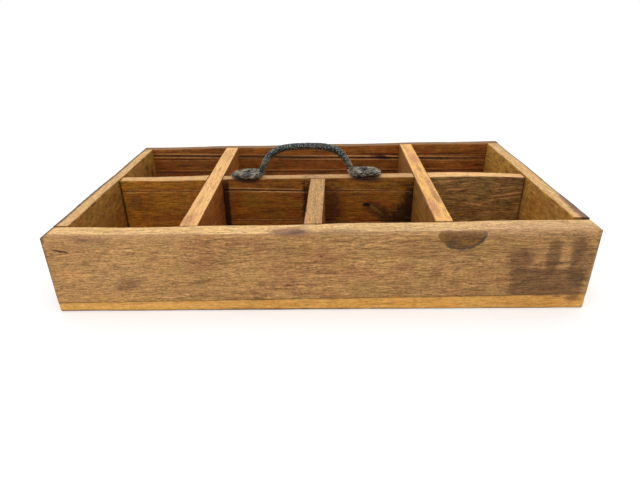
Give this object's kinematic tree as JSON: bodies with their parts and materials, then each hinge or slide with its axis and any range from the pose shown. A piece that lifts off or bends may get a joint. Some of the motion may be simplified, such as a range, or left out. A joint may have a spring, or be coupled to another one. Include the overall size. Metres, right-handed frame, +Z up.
{
  "type": "spice box",
  "caption": "Open divided wooden tray with nailed-in dividers and a forged iron bow handle on the lengthwise divider, for holding spice jars or small goods.",
  "frame": {"origin": "on the table under the middle of the tray", "axes": "+X along the tray to the right, -Y towards the thick front wall, +Z up"},
  "size_m": [0.503, 0.301, 0.12],
  "materials": {
    "wall_wood": "worn, lightly waxed",
    "dark_wood": "aged, waxed",
    "grey_wood": "rough sawn, weathered",
    "divider_wood": "sanded, waxed",
    "base_wood": "sanded, waxed",
    "forged_iron": "hammered, dark patina",
    "nail_iron": "dull"
  },
  "bodies": {
    "root": {"front_wall": "wall_wood", "back_wall": "dark_wood", "left_end": "wall_wood", "right_end": "wall_wood", "left_cross_divider": "divider_wood", "right_cross_divider": "divider_wood", "long_divider_left": "dark_wood", "long_divider_middle": "dark_wood", "long_divider_right": "grey_wood", "short_divider": "divider_wood", "base_plank_front": "base_wood", "base_plank_middle": "base_wood", "base_plank_back": "base_wood", "handle": "forged_iron", "nail_front_left_end_low": "nail_iron", "nail_front_left_end_high": "nail_iron", "nail_back_left_end_low": "nail_iron", "nail_back_left_end_high": "nail_iron", "nail_front_left_cross_low": "nail_iron", "nail_front_left_cross_high": "nail_iron", "nail_back_left_cross_low": "nail_iron", "nail_back_left_cross_high": "nail_iron", "nail_front_right_cross_low": "nail_iron", "nail_front_right_cross_high": "nail_iron", "nail_back_right_cross_low": "nail_iron", "nail_back_right_cross_high": "nail_iron", "nail_front_right_end_low": "nail_iron", "nail_front_right_end_high": "nail_iron", "nail_back_right_end_low": "nail_iron", "nail_back_right_end_high": "nail_iron", "nail_front_short_divider_low": "nail_iron", "nail_front_short_divider_high": "nail_iron", "nail_back_short_divider_low": "nail_iron", "nail_back_short_divider_high": "nail_iron", "nail_long_left_low": "nail_iron", "nail_long_left_high": "nail_iron", "nail_long_middle_left_low": "nail_iron", "nail_long_middle_left_high": "nail_iron", "nail_long_middle_right_low": "nail_iron", "nail_long_middle_right_high": "nail_iron", "nail_long_right_low": "nail_iron", "nail_long_right_high": "nail_iron", "nail_base_front_wall_left": "nail_iron", "nail_base_front_wall_right": "nail_iron", "nail_base_front_left_end": "nail_iron", "nail_base_front_right_end": "nail_iron", "nail_base_back_wall_left": "nail_iron", "nail_base_back_wall_right": "nail_iron", "nail_base_back_left_end": "nail_iron", "nail_base_back_right_end": "nail_iron", "nail_base_middle_left_end": "nail_iron", "nail_base_middle_left_cross": "nail_iron", "nail_base_middle_right_cross": "nail_iron", "nail_base_middle_right_end": "nail_iron", "handle_screw_left": "forged_iron", "handle_screw_right": "forged_iron"}
  },
  "joints": []
}
